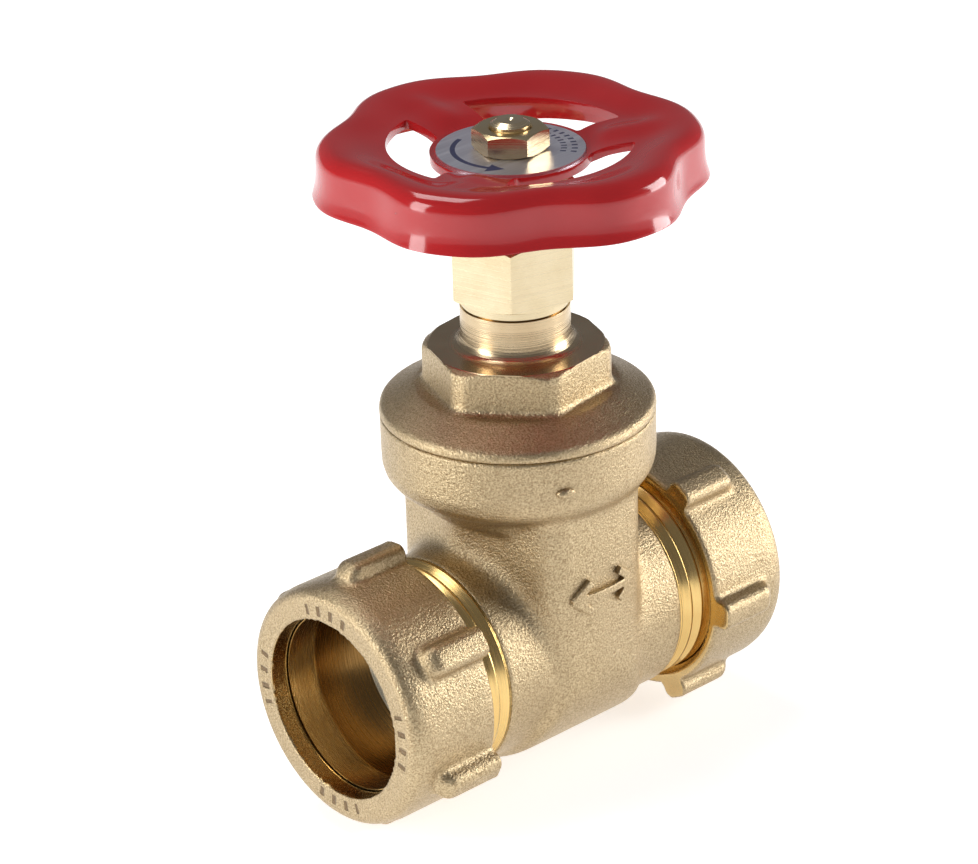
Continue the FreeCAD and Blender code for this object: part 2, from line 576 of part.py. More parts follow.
# --------------------------------------------------- compression nuts and rings
def build_compression_nut(label, way, turn):
    """A capped union nut; way is the sign of its side, turn names its first lug's direction."""
    body = new_body(label)
    places = [
        ("nut_inner_x", "nut_relief"), ("nut_inner_x + 0.9", "nut_relief"),
        ("nut_inner_x + 1.6", "nut_bore"), ("nut_cone_x - 0.8", "nut_bore"),
        ("nut_cone_x - 0.8", "ring_radius + 0.2"), ("nut_cone_x", "ring_radius + 0.2"),
        ("nut_mouth_x", "nut_mouth"), ("nut_face_x", "nut_mouth"),
        ("nut_face_x", "nut_face_radius"), ("nut_face_x - 0.5", "nut_face_radius + 0.85"),
        ("nut_face_x - 1.4", "nut_radius - 0.25"), ("nut_face_x - 2.3", "nut_radius - 0.12"),
        ("nut_face_x - 2.6", "nut_radius"), ("nut_inner_x + 0.4", "nut_radius"),
        ("nut_inner_x", "nut_radius - 0.4")]
    sided = [(f"{way}({along})", radius) for along, radius in places]
    turned(body, f"{label}_turning", sided, "H_Axis")
    side = new_sketch(body, f"{label}_lug_side", "XZ_Plane")
    draw_outline(side, [(f"{way}({along})", up) for along, up in (
        ("nut_inner_x", "nut_radius - 1"), ("nut_inner_x", "lug_radius"),
        ("lug_end_x - 1.4", "lug_radius"), ("lug_end_x", "lug_radius - 1.3"),
        ("lug_end_x", "nut_radius - 1"))])
    lug = raised(body, f"{label}_lug", side, "lug_width", both_ways=True)
    pattern = body.newObject("PartDesign::PolarPattern", f"{label}_lugs")
    pattern.Originals = [lug]
    pattern.Axis = (origin_part(body, "X_Axis"), [""])
    pattern.Angle = 360
    pattern.setExpression("Occurrences", bound("lugs"))
    body.Tip = pattern
    doc.recompute()
    base, tip, end = value("nut_radius"), value("lug_radius"), value("lug_end_x")

    def along_lug(edge):
        middle = edge.CenterOfMass
        out = math.hypot(middle.y, middle.z)
        return out > base + 0.3 and (abs(edge.BoundBox.XLength) > 0.5 or abs(middle.x) > end - 3)
    rounded(body, f"{label}_lug_rounding", "lug_round", along_lug)

    def lug_foot(edge):
        middle = edge.CenterOfMass
        out = math.hypot(middle.y, middle.z)
        short = edge.Length < value("nut_face_x - nut_inner_x")
        return short and abs(out - base) < 0.15 and edge.BoundBox.XLength > 4 and out < tip
    rounded(body, f"{label}_lug_foot", "lug_root", lug_foot)
    body.Placement = Placement(Vector(), Rotation(Vector(1, 0, 0), value(turn) - 90))
    return body


def build_compression_ring(label, way):
    body = new_body(label)
    places = [("ring_inner_x", "ring_bore"), ("ring_inner_x", "ring_bore + 0.12"),
              ("ring_inner_x + 1.6", "ring_radius"), ("nut_cone_x - 0.15", "ring_radius"),
              ("ring_outer_x", "ring_bore + 0.12"), ("ring_outer_x", "ring_bore")]
    sided = [(f"{way}({along})", radius) for along, radius in places]
    turned(body, f"{label}_turning", sided, "H_Axis")
    return body


# ----------------------------------------------------- handwheel and fastenings
def lobed_ring(mean, height, lobe):
    """A closed smooth outline about the stem: broad lobes with narrower hollows between."""
    count, start, power = value("wheel_lobes"), value("wheel_turn"), value("lobe_power")
    points = []
    for step in range(OUTLINE_STEPS):
        angle = math.radians(start + step * 360 / OUTLINE_STEPS)
        hollow = (1 - math.cos(count * (angle - math.radians(start)))) / 2
        reach = mean + lobe * (1 - 2 * hollow ** power)
        points.append(Vector(reach * math.cos(angle), reach * math.sin(angle), height))
    curve = Part.BSplineCurve()
    curve.interpolate(points, PeriodicFlag=True)
    return Part.Wire([curve.toShape()])


def wheel_skin():
    """Radius, height and lobe of the wheel's top skin, from its bottom edge inwards."""
    bottom, crest, lobe = value("wheel_bottom"), value("wheel_crest_z"), value("wheel_lobe")
    web, land_z, land = value("wheel_web_z"), value("wheel_land_z"), value("wheel_land")
    mean, crest_radius = value("wheel_radius"), value("wheel_radius - wheel_crest_in")
    crest_share, width = value("crest_share"), value("wheel_fall")
    skin = [(mean, bottom, lobe), (mean - 0.5, bottom + 1.6, lobe), (mean - 0.7, bottom + 4.2, lobe)]
    roll = mean - 0.75 - crest_radius
    for degrees in range(0, 91, ROLL_STEP):
        angle = math.radians(degrees)
        share = 1 - (1 - crest_share) * degrees / 90
        skin.append((crest_radius + roll * math.cos(angle), crest - roll + roll * math.sin(angle),
                     lobe * share))
    fall = crest - web
    for step in range(1, FALL_STEPS + 1):
        done = step / FALL_STEPS
        skin.append((crest_radius - width * done, web + fall * (1 + math.cos(math.pi * done)) / 2,
                     lobe * crest_share * (1 - done)))
    middle = (land + crest_radius - width) / 2
    skin += [(middle + 0.6, web - 0.35, 0), (middle - 1.2, land_z + 0.45, 0), (land, land_z, 0)]
    return skin


def wheel_solid(gauge):
    """The space below the wheel's top skin, with the skin set in by a sheet's thickness."""
    skin = wheel_skin()
    rings = []
    for step, (radius, height, lobe) in enumerate(skin):
        before, after = skin[max(step - 1, 0)], skin[min(step + 1, len(skin) - 1)]
        run, rise = after[0] - before[0], after[1] - before[1]
        length = math.hypot(run, rise)
        rings.append(lobed_ring(radius - gauge * rise / length, height + gauge * run / length, lobe))
    if gauge:
        rings.insert(0, lobed_ring(skin[0][0] - gauge, skin[0][1] - 2, skin[0][2]))
        rings.append(lobed_ring(value("wheel_land") / 2, skin[-1][1] - gauge, 0))
    return Part.makeLoft(rings, True, True, False)


def window_cutter():
    """One kidney window, centred on the first lobe."""
    inner, outer = value("window_inner"), value("window_outer")
    half, corner = math.radians(value("window_half_angle")), value("window_round")
    low, high = value("wheel_bottom"), value("wheel_crest_z") + 2

    def place(radius, angle):
        return Vector(radius * math.cos(angle), radius * math.sin(angle), low)
    inner_half = half * value("window_taper")
    edges = [
        Part.Arc(place(inner, -inner_half), place(inner, 0), place(inner, inner_half)).toShape(),
        Part.LineSegment(place(inner, inner_half), place(outer, half)).toShape(),
        Part.Arc(place(outer, half), place(outer, 0), place(outer, -half)).toShape(),
        Part.LineSegment(place(outer, -half), place(inner, -inner_half)).toShape()]
    block = Part.Face(Part.Wire(edges)).extrude(Vector(0, 0, high - low))
    upright = [edge for edge in block.Edges
               if edge.BoundBox.ZLength > 5 and isinstance(edge.Curve, Part.Line)]
    block = block.makeFillet(corner, upright)
    block.rotate(Vector(), Vector(0, 0, 1), value("wheel_turn"))
    return block


def build_handwheel():
    shape = wheel_solid(0).cut(wheel_solid(value("wheel_gauge")))
    windows = round(value("windows"))
    for window in range(windows):
        cutter = window_cutter()
        cutter.rotate(Vector(), Vector(0, 0, 1), 360 / windows * window)
        shape = shape.cut(cutter)
    side = value("square_flats") + 2 * value("running_gap")
    hole = Part.makeBox(side, side, 20, Vector(-side / 2, -side / 2, value("wheel_bottom")))
    hole.rotate(Vector(), Vector(0, 0, 1), value("wheel_turn"))
    wheel = doc.addObject("Part::Feature", "handwheel")
    wheel.Label = "handwheel"
    wheel.Shape = shape.cut(hole)
    return wheel


def build_wheel_nut():
    body = new_body("handwheel_nut")
    bottom = "wheel_land_z + disc_thick"
    corner, blank = hexagon_blank("wheel_nut_flats", bottom, "wheel_nut_top")
    inside = "tip_radius + running_gap"
    turned(body, "wheel_nut_turning", [
        (inside, f"{bottom}")] + blank + [(f"{inside} + 0.35", "wheel_nut_top"),
                                          (inside, "wheel_nut_top - 0.35")])
    flats_cut(body, "wheel_nut_hexagon", polygon(6, "wheel_nut_flats", "wheel_nut_turn"), bottom,
              "wheel_nut_top", corner)
    return body


pieces = [build_valve_body(), build_bonnet(), build_stuffing_box(), build_gland(), build_gland_nut()]
pieces.append(plain_ring("bonnet_gasket", "skirt_bore + 0.2", "bonnet_thread",
                         "skirt_bottom - gasket_thick", "skirt_bottom"))
for number in range(round(value("packing_rings"))):
    pieces.append(plain_ring(
        f"packing_ring_{number + 1}", "stem_radius + running_gap", "packing_radius",
        f"box_hex_bottom + {number} * packing_height", f"box_hex_bottom + {number + 1} * packing_height"))
pieces += [build_stem(), build_gate(), build_handwheel(), build_wheel_nut()]
pieces.append(plain_ring("identification_disc", "tip_radius + running_gap", "disc_radius",
                         "wheel_land_z", "wheel_land_z + disc_thick"))
for side_name, way in (("left", "-"), ("right", "")):
    pieces.append(build_compression_nut(f"compression_nut_{side_name}", way, f"{side_name}_lug_turn"))
    pieces.append(build_compression_ring(f"compression_ring_{side_name}", way))
doc.recompute()

failed = [item.Label for item in doc.Objects if {"Invalid", "Error"} & set(item.State)]
if failed:
    raise RuntimeError(f"failed: {failed}")
for piece in pieces:
    if piece.Shape.isNull() or not piece.Shape.isValid() or not piece.Shape.Solids:
        raise RuntimeError(f"{piece.Label} has no valid solid")
os.makedirs("parts", exist_ok=True)
for piece in pieces:
    piece.Shape.exportStep(f"parts/{piece.Label}.step")
    box = piece.Shape.BoundBox
    print(f"{piece.Label:26s} {len(piece.Shape.Solids)} solid  {piece.Shape.Volume:9.1f} mm3  "
          f"x {box.XMin:6.2f}..{box.XMax:6.2f}  y {box.YMin:6.2f}..{box.YMax:6.2f}  "
          f"z {box.ZMin:6.2f}..{box.ZMax:6.2f}")
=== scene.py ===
"""Gate valve for 28 mm pipe: the finished surfaces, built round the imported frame.

Lengths are in metres, in the model's frame: +X runs along the pipe, +Z up the stem.
The sections follow the order in which the valve is put together.
"""
import bmesh
import bpy
import math
from mathutils import Matrix, Vector


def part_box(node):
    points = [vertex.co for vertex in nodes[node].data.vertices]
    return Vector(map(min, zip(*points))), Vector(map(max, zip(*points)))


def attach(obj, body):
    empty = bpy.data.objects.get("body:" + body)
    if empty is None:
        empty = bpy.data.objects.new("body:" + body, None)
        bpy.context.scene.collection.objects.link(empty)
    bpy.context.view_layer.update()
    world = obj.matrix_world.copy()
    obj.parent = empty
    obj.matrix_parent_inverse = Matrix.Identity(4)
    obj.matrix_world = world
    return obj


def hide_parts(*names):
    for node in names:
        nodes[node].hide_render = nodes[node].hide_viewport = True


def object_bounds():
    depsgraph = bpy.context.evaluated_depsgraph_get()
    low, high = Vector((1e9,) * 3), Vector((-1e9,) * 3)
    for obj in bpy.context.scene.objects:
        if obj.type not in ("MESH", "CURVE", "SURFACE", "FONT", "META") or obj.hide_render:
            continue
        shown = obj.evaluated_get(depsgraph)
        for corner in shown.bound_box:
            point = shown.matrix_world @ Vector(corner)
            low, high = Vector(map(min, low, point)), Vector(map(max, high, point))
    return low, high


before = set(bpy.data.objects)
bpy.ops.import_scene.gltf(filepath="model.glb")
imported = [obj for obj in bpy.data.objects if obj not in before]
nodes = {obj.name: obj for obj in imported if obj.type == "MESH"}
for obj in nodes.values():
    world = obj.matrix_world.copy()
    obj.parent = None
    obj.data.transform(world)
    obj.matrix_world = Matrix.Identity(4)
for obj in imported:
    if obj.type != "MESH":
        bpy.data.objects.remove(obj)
cad_low, cad_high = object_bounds()
MM = 0.001


# ---- Studio: a pale floor, three soft boxes and the camera -------------------
# The valve stands on the lugs of its nuts.  The floor is plain and matt, and the
# soft boxes are large, so that the brass shows broad and gentle reflections.
floor_z = cad_low.z - 0.05 * MM
bpy.ops.object.select_all(action="DESELECT")
bpy.ops.mesh.primitive_plane_add(size=30.0, location=(0, 0, floor_z))
floor = bpy.context.object
floor.name = "floor"
paper = bpy.data.materials.new("studio_paper")
paper.use_nodes = True
for label, amount in (("Base Color", (0.93, 0.93, 0.93, 1)), ("Roughness", 0.9),
                      ("Emission Color", (1, 1, 1, 1)), ("Emission Strength", 0.60)):
    paper.node_tree.nodes["Principled BSDF"].inputs[label].default_value = amount
floor.data.materials.append(paper)
middle = (0, 0, 0.035)


def soft_box(name, place, width, height, power):
    """A rectangular lamp aimed at the middle of the valve."""
    lamp = bpy.data.lights.new(name, "AREA")
    lamp.shape = "RECTANGLE"
    lamp.size, lamp.size_y = width, height
    lamp.energy = power
    box = bpy.data.objects.new(name, lamp)
    bpy.context.scene.collection.objects.link(box)
    box.location = place
    box.rotation_euler = (Vector(middle) - Vector(place)).to_track_quat("-Z", "Y").to_euler()


soft_box("left_box", (-0.62, 0.20, 0.20), 0.26, 0.60, 3.2)
soft_box("right_box", (0.56, -0.36, 0.13), 0.34, 0.50, 4.2)
soft_box("top_box", (-0.10, 0.30, 0.80), 0.4, 0.4, 2.4)

world = bpy.data.worlds.new("studio")
bpy.context.scene.world = world
world.use_nodes = True
air = world.node_tree
air.nodes.clear()
seen = air.nodes.new("ShaderNodeBackground")
seen.inputs["Color"].default_value = (1, 1, 1, 1)
lit = air.nodes.new("ShaderNodeBackground")
lit.inputs["Color"].default_value = (0.17, 0.17, 0.18, 1)
ray = air.nodes.new("ShaderNodeLightPath")
either = air.nodes.new("ShaderNodeMixShader")
out = air.nodes.new("ShaderNodeOutputWorld")
air.links.new(ray.outputs["Is Camera Ray"], either.inputs["Fac"])
air.links.new(lit.outputs[0], either.inputs[1])
air.links.new(seen.outputs[0], either.inputs[2])
air.links.new(either.outputs[0], out.inputs["Surface"])
bpy.context.scene.view_settings.view_transform = "Standard"

azimuth, elevation, tilt = math.radians(-41.733), math.radians(25.284), math.radians(-1.79)
camera_distance = 539.825 * MM
look_at = Vector((-6.018, 0, 34.719)) * MM
back = Vector((math.sin(azimuth) * math.cos(elevation), -math.cos(azimuth) * math.cos(elevation),
               math.sin(elevation)))
level = Vector((math.cos(azimuth), math.sin(azimuth), 0))
upright = back.cross(level)
across = level * math.cos(tilt) + upright * math.sin(tilt)
over = upright * math.cos(tilt) - level * math.sin(tilt)
lens = bpy.data.cameras.new("camera")
lens.lens = 131.35
lens.sensor_width = 36
lens.clip_start, lens.clip_end = 0.01, 10
camera = bpy.data.objects.new("camera", lens)
bpy.context.scene.collection.objects.link(camera)
camera.matrix_world = Matrix.Translation(look_at + back * camera_distance) @ Matrix(
    (across, over, back)).transposed().to_4x4()
bpy.context.scene.camera = camera


# ---- Body casting ------------------------------------------------------------
# Sand-cast brass, shot-blasted to an even grain, then bored and threaded.
# The casting and its two turned ends are one piece of metal with two finishes.
def copy_of(node, name):
    """A copy of a CAD piece with its loose triangles joined up."""
    piece = nodes[node].copy()
    piece.data = nodes[node].data.copy()
    piece.name = piece.data.name = name
    piece.parent = None
    for key in list(piece.keys()):
        del piece[key]
    bpy.context.scene.collection.objects.link(piece)
    piece.data.materials.clear()
    mesh = bmesh.new()
    mesh.from_mesh(piece.data)
    bmesh.ops.remove_doubles(mesh, verts=mesh.verts, dist=0.0015 * MM)
    mesh.to_mesh(piece.data)
    mesh.free()
    return piece


def pick_only(piece):
    """Make one object the only one selected, and the active one."""
    bpy.ops.object.select_all(action="DESELECT")
    piece.select_set(True)
    bpy.context.view_layer.objects.active = piece


def apply_modifier(piece, kind, **settings):
    """Give a piece a modifier with these settings, and apply it."""
    pick_only(piece)
    modifier = piece.modifiers.new(kind.lower(), kind)
    for setting, amount in settings.items():
        setattr(modifier, setting, amount)
    bpy.ops.object.modifier_apply(modifier=modifier.name)


def soften(piece, voxel, passes, crisp):
    """Round the edges as a mould does, and leave the machined places crisp."""
    apply_modifier(piece, "REMESH", mode="VOXEL", voxel_size=voxel, use_smooth_shade=True)
    cast = piece.vertex_groups.new(name="cast")
    cast.add([spot.index for spot in piece.data.vertices if not crisp(spot.co)], 1.0, "REPLACE")
    apply_modifier(piece, "SMOOTH", factor=0.5, iterations=passes, vertex_group="cast")


def cut_at(piece, place, normal, spared=lambda spot: False):
    """Remove what lies beyond a plane, but for the spared part, and close the ring left open."""
    pick_only(piece)
    bpy.ops.object.mode_set(mode="EDIT")
    bpy.ops.mesh.select_all(action="SELECT")
    bpy.ops.mesh.bisect(plane_co=place, plane_no=normal)
    bpy.ops.object.mode_set(mode="OBJECT")
    mesh = bmesh.new()
    mesh.from_mesh(piece.data)
    beyond = [face for face in mesh.faces
              if (face.calc_center_median() - Vector(place)).dot(Vector(normal)) > 0
              and not spared(face.calc_center_median())]
    bmesh.ops.delete(mesh, geom=beyond, context="FACES")
    rim = [edge for edge in mesh.edges if edge.is_boundary]
    bmesh.ops.bridge_loops(mesh, edges=rim)
    mesh.to_mesh(piece.data)
    mesh.free()


shoulder_x = 18.0 * MM
seam_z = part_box("valve_body")[1].z
hollow_x, hollow_reach = 9.0 * MM, 16.4 * MM


def is_machined(spot):
    """The hollow with its seats and guides, the bonnet's joint and the two ends stay crisp."""
    hollow = abs(spot.x) < hollow_x and math.hypot(spot.y, min(spot.z, 0)) < hollow_reach
    return hollow or spot.z > seam_z - 1.0 * MM or abs(spot.x) > shoulder_x - 0.7 * MM


body_casting = copy_of("valve_body", "body_casting")
soften(body_casting, 0.42 * MM, 40, is_machined)
flange_root_z = 20.0 * MM
for way in (-1, 1):
    cut_at(body_casting, (way * shoulder_x, 0, 0), (way, 0, 0), lambda spot: spot.z > flange_root_z)
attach(body_casting, "valve")

body_ends = []
for name, way in (("left", -1), ("right", 1)):
    end = copy_of("valve_body", f"body_thread_{name}")
    pick_only(end)
    bpy.ops.object.mode_set(mode="EDIT")
    bpy.ops.mesh.select_all(action="SELECT")
    bpy.ops.mesh.bisect(plane_co=(0, 0, flange_root_z), plane_no=(0, 0, 1), clear_outer=True)
    bpy.ops.object.mode_set(mode="OBJECT")
    cut_at(end, (way * shoulder_x, 0, 0), (-way, 0, 0))
    pick_only(end)
    bpy.ops.object.shade_smooth_by_angle(angle=math.radians(30))
    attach(end, "valve")
    body_ends.append(end)
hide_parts("valve_body")


def new_group(name, inputs, outputs):
    """An empty shader node group with named sockets, and its two end nodes."""
    group = bpy.data.node_groups.new(name, "ShaderNodeTree")
    for label, kind, amount in inputs:
        socket = group.interface.new_socket(label, in_out="INPUT", socket_type=kind)
        socket.default_value = amount
    for label, kind in outputs:
        group.interface.new_socket(label, in_out="OUTPUT", socket_type=kind)
    return group, group.nodes.new("NodeGroupInput"), group.nodes.new("NodeGroupOutput")


def add_node(tree, kind, **settings):
    """A node; a setting named after an input fills or links it, any other is an attribute."""
    node = tree.nodes.new(f"ShaderNode{kind}")
    for setting, amount in settings.items():
        if setting.startswith("in_"):
            key = setting[3:]
            socket = node.inputs[int(key)] if key.isdigit() else node.inputs[key.replace("_", " ")]
            if isinstance(amount, bpy.types.NodeSocket):
                tree.links.new(amount, socket)
            else:
                socket.default_value = amount
        else:
            setattr(node, setting, amount)
    return node


def blend_of(tree, share, low, high):
    """A colour between two others; each may be a colour or a socket."""
    node = tree.nodes.new("ShaderNodeMix")
    node.data_type = "RGBA"
    for socket, amount in ((node.inputs[0], share), (node.inputs[6], low), (node.inputs[7], high)):
        if isinstance(amount, bpy.types.NodeSocket):
            tree.links.new(amount, socket)
        else:
            socket.default_value = amount
    return node.outputs[2]


def stretch(tree, amount, low, high, to_low=0.0, to_high=1.0):
    """A value mapped from one range to another, and held at the ends."""
    node = add_node(tree, "MapRange", in_Value=amount)
    limits = {"From Min": low, "From Max": high, "To Min": to_low, "To Max": to_high}
    for label, number in limits.items():
        node.inputs[label].default_value = number
    return node.outputs["Result"]


# Blasted grain: fine sparkling pits with darker specks, and broad shade over the casting.
grain, grain_in, grain_out = new_group(
    "blasted_grain",
    [("Vector", "NodeSocketVector", (0, 0, 0)), ("Grain Size", "NodeSocketFloat", 0.35),
     ("Depth", "NodeSocketFloat", 0.5)],
    [("Specks", "NodeSocketFloat"), ("Shade", "NodeSocketFloat"), ("Normal", "NodeSocketVector")])
per_metre = add_node(grain, "Math", operation="DIVIDE", in_0=1000.0, in_1=grain_in.outputs["Grain Size"])
fine = add_node(grain, "TexNoise", in_Vector=grain_in.outputs["Vector"], in_Scale=per_metre.outputs[0],
                in_Detail=3.0, in_Roughness=0.65)
coarse = add_node(grain, "TexNoise", in_Vector=grain_in.outputs["Vector"], in_Scale=330.0, in_Detail=3.0)
broad = add_node(grain, "TexNoise", in_Vector=grain_in.outputs["Vector"], in_Scale=60.0, in_Detail=2.0)
pits = add_node(grain, "TexVoronoi", in_Vector=grain_in.outputs["Vector"], in_Scale=2100.0)
relief = add_node(grain, "Math", operation="MULTIPLY_ADD", in_0=pits.outputs["Distance"], in_1=0.45,
                  in_2=fine.outputs["Fac"])
relief = add_node(grain, "Math", operation="MULTIPLY_ADD", in_0=coarse.outputs["Fac"], in_1=0.6,
                  in_2=relief.outputs[0])
bump = add_node(grain, "Bump", in_Strength=grain_in.outputs["Depth"], in_Distance=0.00022,
                in_Height=relief.outputs[0])
grain.links.new(stretch(grain, fine.outputs["Fac"], 0.36, 0.62), grain_out.inputs["Specks"])
grain.links.new(stretch(grain, broad.outputs["Fac"], 0.3, 0.7), grain_out.inputs["Shade"])
grain.links.new(bump.outputs["Normal"], grain_out.inputs["Normal"])

# Tool marks: fine rings round an axis, deep enough to draw out a highlight.
marks, marks_in, marks_out = new_group(
    "tool_marks",
    [("Along", "NodeSocketFloat", 0.0), ("Vector", "NodeSocketVector", (0, 0, 0)),
     ("Pitch", "NodeSocketFloat", 0.12), ("Depth", "NodeSocketFloat", 0.2)],
    [("Ring", "NodeSocketFloat"), ("Tarnish", "NodeSocketFloat"), ("Normal", "NodeSocketVector")])
turns = add_node(marks, "Math", operation="MULTIPLY", in_0=marks_in.outputs["Along"], in_1=1000.0)
turns = add_node(marks, "Math", operation="DIVIDE", in_0=turns.outputs[0], in_1=marks_in.outputs["Pitch"])
rings = add_node(marks, "TexNoise", noise_dimensions="1D", in_W=turns.outputs[0], in_Scale=1.0,
                 in_Detail=2.0)
cloud = add_node(marks, "TexNoise", in_Vector=marks_in.outputs["Vector"], in_Scale=180.0, in_Detail=4.0)
bump = add_node(marks, "Bump", in_Strength=marks_in.outputs["Depth"], in_Distance=0.00008,
                in_Height=rings.outputs["Fac"])
marks.links.new(rings.outputs["Fac"], marks_out.inputs["Ring"])
marks.links.new(stretch(marks, cloud.outputs["Fac"], 0.35, 0.7), marks_out.inputs["Tarnish"])
marks.links.new(bump.outputs["Normal"], marks_out.inputs["Normal"])


def place_group(tree, group, **settings):
    """A shared effect placed in a material, with its inputs filled or linked."""
    node = tree.nodes.new("ShaderNodeGroup")
    node.node_tree = group
    for setting, amount in settings.items():
        socket = node.inputs[setting.replace("_", " ")]
        if isinstance(amount, bpy.types.NodeSocket):
            tree.links.new(amount, socket)
        else:
            socket.default_value = amount
    return node


def new_material(name, metal, roughness):
    """A material with its Principled shader, and the object's own coordinates."""
    material = bpy.data.materials.new(name)
    material.use_nodes = True
    tree = material.node_tree
    shader = tree.nodes["Principled BSDF"]
    shader.inputs["Metallic"].default_value = metal
    shader.inputs["Roughness"].default_value = roughness
    place = tree.nodes.new("ShaderNodeTexCoord").outputs["Object"]
    return material, tree, shader, place


def radius_about(tree, first, second):
    """Distance from an axis, from the two coordinates across it."""
    squares = [add_node(tree, "Math", operation="MULTIPLY", in_0=part, in_1=part).outputs[0]
               for part in (first, second)]
    total = add_node(tree, "Math", operation="ADD", in_0=squares[0], in_1=squares[1])
    return add_node(tree, "Math", operation="SQRT", in_0=total.outputs[0]).outputs[0]


CAST_LIGHT = (0.64, 0.51, 0.31, 1)
CAST_DARK = (0.33, 0.235, 0.125, 1)
TURNED_LIGHT = (0.84, 0.70, 0.42, 1)
TURNED_DEEP = (0.66, 0.45, 0.19, 1)


def cast_surface(tree, place, size=0.28, depth=0.6):
    """The blasted grain's colour, and the node with its other outputs."""
    skin = place_group(tree, grain, Vector=place, Grain_Size=size, Depth=depth)
    colour = blend_of(tree, skin.outputs["Specks"], CAST_DARK, CAST_LIGHT)
    shade = stretch(tree, skin.outputs["Shade"], 0, 1, 0.0, 0.28)
    return blend_of(tree, shade, colour, (0.45, 0.34, 0.21, 1)), skin


def cast_brass(name):
    """The blasted casting, with its darker specks a little rougher than the rest."""
    material, tree, shader, place = new_material(name, 1.0, 0.5)
    colour, skin = cast_surface(tree, place)
    tree.links.new(colour, shader.inputs["Base Color"])
    tree.links.new(stretch(tree, skin.outputs["Specks"], 0, 1, 0.46, 0.30), shader.inputs["Roughness"])
    tree.links.new(skin.outputs["Normal"], shader.inputs["Normal"])
    return material


def turned_brass(name, axis, light=TURNED_LIGHT, deep=TURNED_DEEP, pitch=0.12, depth=0.25):
    """Brass turned about an axis: ring marks along it, and a light cloud of tarnish."""
    material, tree, shader, place = new_material(name, 1.0, 0.24)
    split = add_node(tree, "SeparateXYZ", in_Vector=place)
    tool = place_group(tree, marks, Along=split.outputs[axis], Vector=place, Pitch=pitch, Depth=depth)
    colour = blend_of(tree, stretch(tree, tool.outputs["Tarnish"], 0, 1, 0, 0.45), light, deep)
    tree.links.new(colour, shader.inputs["Base Color"])
    tree.links.new(stretch(tree, tool.outputs["Ring"], 0.3, 0.7, 0.18, 0.32), shader.inputs["Roughness"])
    tree.links.new(tool.outputs["Normal"], shader.inputs["Normal"])
    return material


body_casting.data.materials.append(cast_brass("cast_brass_body"))
thread_brass = turned_brass("thread_brass", "X", light=(0.80, 0.56, 0.22, 1), deep=(0.62, 0.39, 0.13, 1),
                            pitch=0.3, depth=0.1)
tree = thread_brass.node_tree
shader = tree.nodes["Principled BSDF"]
split = next(node for node in tree.nodes if node.bl_idname == "ShaderNodeSeparateXYZ")
# Inside the bore the colour is painted light and shade: dark brown is a painted shade deep in the socket,
# and a pale band at the pipe stop and inward of it is a painted highlight on the stop's edge.
reach = radius_about(tree, split.outputs["Y"], split.outputs["Z"])
bored = stretch(tree, reach, 14.5 * MM, 14.1 * MM)
outside = shader.inputs["Base Color"].links[0].from_socket
out_along = add_node(tree, "Math", operation="ABSOLUTE", in_0=split.outputs["X"])
stop_x, lip = 20.5 * MM, 0.45 * MM
stop_painted_highlight_mask = stretch(tree, out_along.outputs[0], stop_x + lip, stop_x + 0.8 * lip)
bore_painted_shade_and_highlight = blend_of(tree, stop_painted_highlight_mask, (0.25, 0.14, 0.045, 1), (0.92, 0.82, 0.60, 1))
tree.links.new(blend_of(tree, bored, outside, bore_painted_shade_and_highlight), shader.inputs["Base Color"])
for end in body_ends:
    end.data.materials.append(thread_brass)


# Raised flow arrow on the front of the barrel, and a caster's oval on the flange.
bpy.ops.object.select_all(action="DESELECT")
strokes = []
front_y = -18.3 * MM
end_crown = 25 * MM
for across_x, up_z, length, turn in ((0, 12.2, 9.4, 0), (4.5, 13.4, 4.2, -38), (4.5, 11.0, 4.2, 38),
                                     (-4.5, 13.4, 4.2, 38), (-4.5, 11.0, 4.2, -38)):
    bpy.ops.mesh.primitive_cube_add(size=1, location=(across_x * MM, front_y, up_z * MM),
                                    rotation=(0, math.radians(-turn), 0),
                                    scale=(length * MM, 1.6 * MM, 1.3 * MM))
    strokes.append(bpy.context.object)
for stroke in strokes:
    stroke.select_set(True)
bpy.context.view_layer.objects.active = strokes[0]
bpy.ops.object.join()
arrow = bpy.context.object
arrow.name = arrow.data.name = "flow_arrow"
bpy.ops.object.transform_apply(location=True, rotation=True, scale=True)
apply_modifier(arrow, "REMESH", mode="VOXEL", voxel_size=0.13 * MM, use_smooth_shade=True)
apply_modifier(arrow, "SMOOTH", factor=0.5, iterations=4)
for spot in arrow.data.vertices:
    spot.co.y += spot.co.x ** 2 / (2 * end_crown)

bpy.ops.object.select_all(action="DESELECT")
bpy.ops.mesh.primitive_uv_sphere_add(segments=32, ring_count=20, radius=1,
                                     scale=(1.5 * MM, 0.7 * MM, 0.85 * MM),
                                     location=(-8.45 * MM, -19.35 * MM, 31.85 * MM),
                                     rotation=(0, 0, math.radians(-23.5)))
oval = bpy.context.object
oval.name = oval.data.name = "casting_oval"
bpy.ops.object.transform_apply(location=True, rotation=True, scale=True)
apply_modifier(oval, "REMESH", mode="VOXEL", voxel_size=0.11 * MM, use_smooth_shade=True)
apply_modifier(oval, "SMOOTH", factor=0.5, iterations=4)
for mark in (arrow, oval):
    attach(mark, "valve")
    mark.data.materials.append(body_casting.data.materials[0])


def repaint(node, material):
    """Give a CAD piece a material and leave its mesh alone."""
    nodes[node].data.materials.clear()
    nodes[node].data.materials.append(material)


# ---- Gate, gasket and packing ------------------------------------------------
# A cast wedge with machined faces hangs on the stem's thread and slides between the seats.
# A fibre ring seals the bonnet's joint, and three rings of PTFE cord seal the stem.
repaint("gate", turned_brass("gate_brass", "Z", pitch=0.3))


